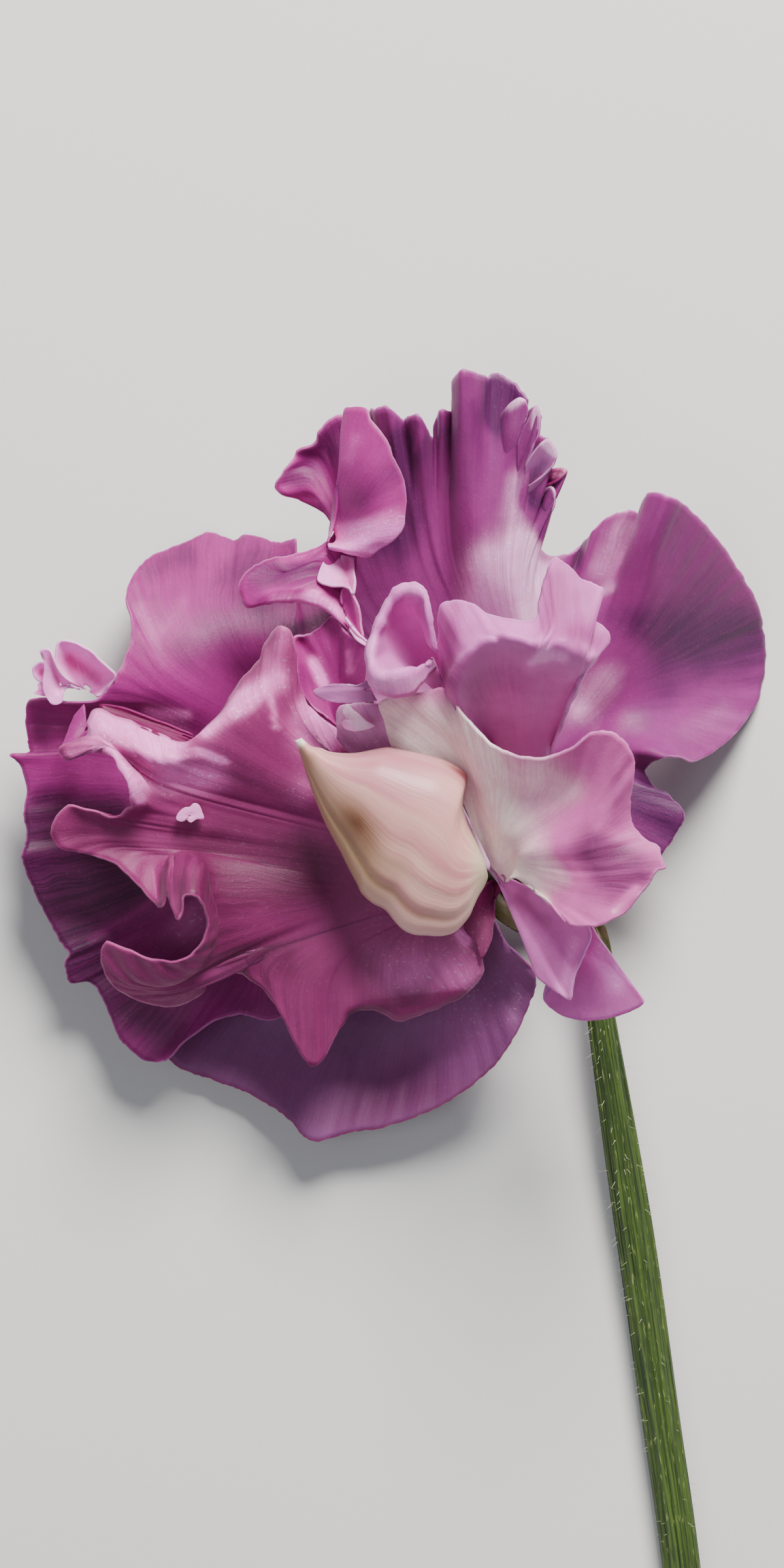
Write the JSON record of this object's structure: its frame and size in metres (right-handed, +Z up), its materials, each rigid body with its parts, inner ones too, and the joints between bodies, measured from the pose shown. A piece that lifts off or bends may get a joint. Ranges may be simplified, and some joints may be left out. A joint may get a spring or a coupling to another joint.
{
  "type": "sweet pea flower",
  "caption": "Picked sweet pea stem with ruffled pink-mauve blooms, each with a standard, wings and keel, lying face up on a surface.",
  "frame": {"origin": "the flat spot under the lowest petal, where it rests on the surface", "axes": "+Z up from the surface; the stem leaves the blooms along -Y; +X is the viewer's right when the flower is looked down on"},
  "size_m": [0.0781, 0.1324, 0.0377],
  "materials": {
    "stem": "living green stem, ribbed and finely haired",
    "calyx": "living green sepals",
    "keel": "cream petal, satin",
    "petal_pink": "pink-mauve petal, satin and thin",
    "petal_pale": "cream petal with a lilac margin, satin and thin",
    "petal_mauve": "shaded mauve petal, satin and thin"
  },
  "bodies": {
    "root": {"stem": "stem", "calyx_a": "calyx", "calyx_b": "calyx", "calyx_c": "calyx", "keel_a": "keel", "keel_b": "keel", "keel_c": "keel", "standard_a": "petal_pink", "standard_a_outer": "petal_mauve", "wing_a_right": "petal_pale", "wing_a_left": "petal_pink", "standard_b": "petal_pink", "wing_b_right": "petal_pink", "wing_b_left": "petal_pink", "standard_c": "petal_pink", "wing_c_right": "petal_pink", "wing_c_left": "petal_pink"}
  },
  "joints": []
}
